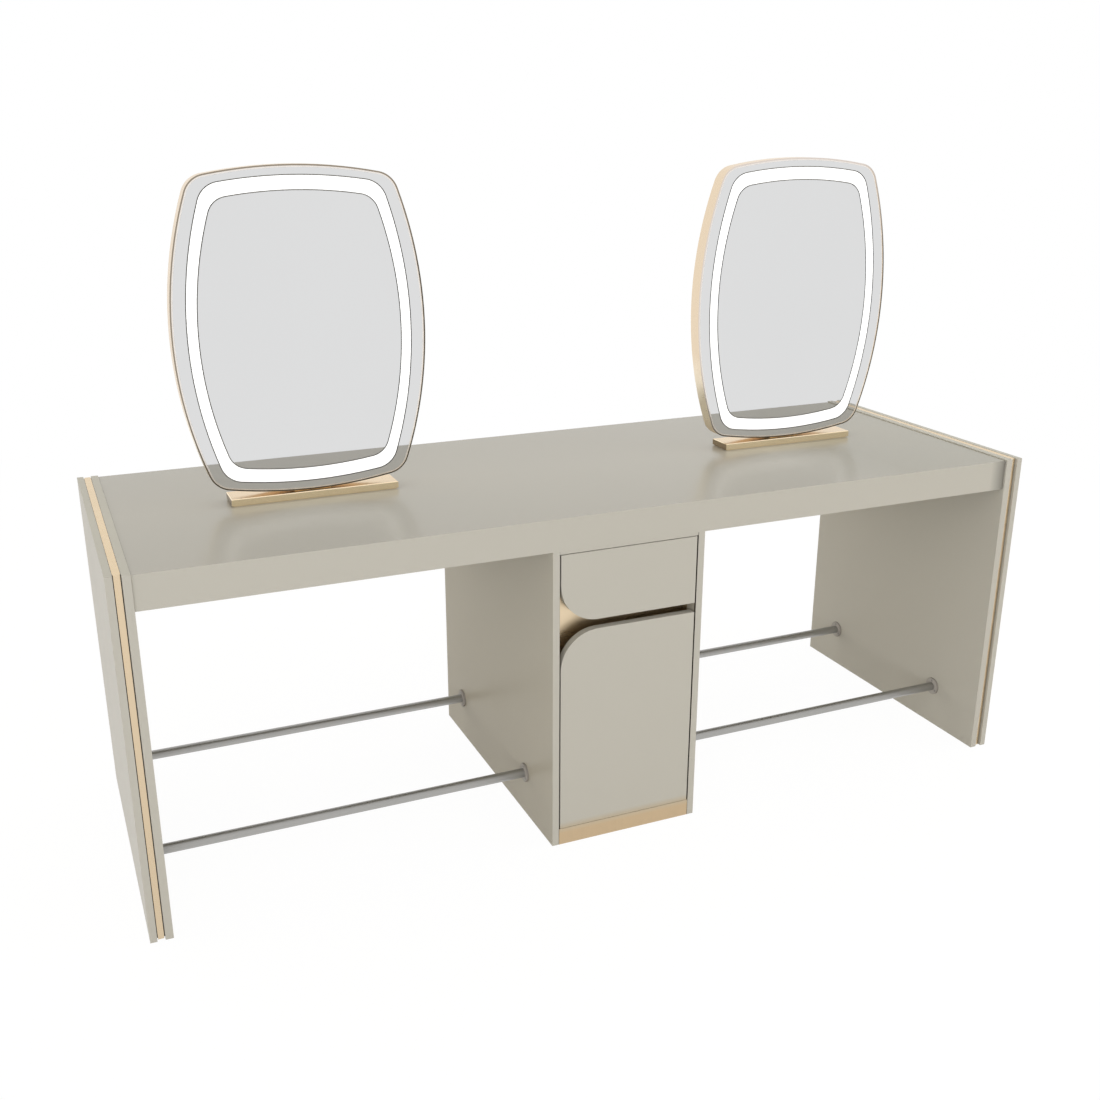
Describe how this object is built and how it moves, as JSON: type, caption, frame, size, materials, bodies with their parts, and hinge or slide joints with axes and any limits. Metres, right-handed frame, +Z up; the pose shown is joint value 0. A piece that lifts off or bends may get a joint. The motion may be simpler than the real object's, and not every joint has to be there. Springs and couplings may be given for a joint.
{
  "type": "double sided salon station",
  "caption": "Long two-sided salon desk with a central drawer and door cabinet on each side, tube footrails, and upright barrel-shaped mirrors with light rings.",
  "frame": {"origin": "on the floor, under the middle of the desk", "axes": "+X along the desk's length, from the left to the right mirror as seen from the front; the front side faces -Y; +Z up"},
  "size_m": [2.126, 0.727, 1.4726],
  "materials": {
    "lacquer": "satin lacquer",
    "gold_metal": "satin champagne anodised",
    "carcase_board": "matt melamine",
    "box_board": "matt melamine",
    "rail_steel": "brushed",
    "zinc_steel": "zinc plated",
    "hinge_steel": "dark bronze",
    "mirror_glass": "silvered",
    "light_opal": "opal",
    "light_tape": "matt",
    "gasket_rubber": "pearl beige",
    "painted_steel": "satin paint",
    "glide_plastic": "matt",
    "catch_plastic": "moulded"
  },
  "bodies": {
    "desk": {"cabinet_bottom": "carcase_board", "cabinet_left_side": "lacquer", "cabinet_partition": "carcase_board", "cabinet_right_side": "lacquer", "cabinet_top": "carcase_board", "door_catches": "catch_plastic", "drawer_shelves": "carcase_board", "front_apron": "lacquer", "front_finger_channel": "gold_metal", "front_footrails": "rail_steel", "hinge_fixed_leaves": "hinge_steel", "hinge_pins": "hinge_steel", "left_border_mirrors": "mirror_glass", "left_centre_mirrors": "mirror_glass", "left_end_gold_strip": "gold_metal", "left_end_inner_panel": "lacquer", "left_end_outer_panel": "lacquer", "left_light_rings": "light_opal", "left_mirror_core": "carcase_board", "left_mirror_frame": "gold_metal", "light_tapes": "light_tape", "mirror_base_bars": "gold_metal", "mirror_bolts": "zinc_steel", "mirror_gaskets": "gasket_rubber", "mirror_saddles": "gold_metal", "plinths": "gold_metal", "power_supplies": "catch_plastic", "rail_rosettes": "painted_steel", "rear_apron": "lacquer", "rear_finger_channel": "gold_metal", "rear_footrails": "rail_steel", "right_border_mirrors": "mirror_glass", "right_centre_mirrors": "mirror_glass", "right_end_gold_strip": "gold_metal", "right_end_inner_panel": "lacquer", "right_end_outer_panel": "lacquer", "right_light_rings": "light_opal", "right_mirror_core": "carcase_board", "right_mirror_frame": "gold_metal", "rosette_screws": "zinc_steel", "runner_channels": "zinc_steel", "runner_glides": "glide_plastic", "worktop_board": "lacquer", "worktop_ribs": "carcase_board"},
    "front_drawer": {"front_drawer_back": "box_board", "front_drawer_bottom": "box_board", "front_drawer_front": "lacquer", "front_drawer_sides": "box_board", "front_drawer_slides": "zinc_steel"},
    "front_door": {"front_door_hinge_leaves": "hinge_steel", "front_door_leaf": "lacquer", "front_door_strike": "zinc_steel"},
    "rear_drawer": {"rear_drawer_back": "box_board", "rear_drawer_bottom": "box_board", "rear_drawer_front": "lacquer", "rear_drawer_sides": "box_board", "rear_drawer_slides": "zinc_steel"},
    "rear_door": {"rear_door_hinge_leaves": "hinge_steel", "rear_door_leaf": "lacquer", "rear_door_strike": "zinc_steel"}
  },
  "joints": [
    {"name": "front_drawer_slide", "type": "slide", "parent": "desk", "child": "front_drawer", "axis": [0, -1, 0], "range_m": [0, 0.225]},
    {"name": "rear_drawer_slide", "type": "slide", "parent": "desk", "child": "rear_drawer", "axis": [0, 1, 0], "range_m": [0, 0.225]},
    {"name": "front_door_hinge", "type": "hinge", "parent": "desk", "child": "front_door", "pos_m": [0.1645, -0.359, 0.28], "axis": [0, 0, 1], "range_deg": [0, 110]},
    {"name": "rear_door_hinge", "type": "hinge", "parent": "desk", "child": "rear_door", "pos_m": [-0.1645, 0.359, 0.28], "axis": [0, 0, 1], "range_deg": [0, 110]}
  ]
}
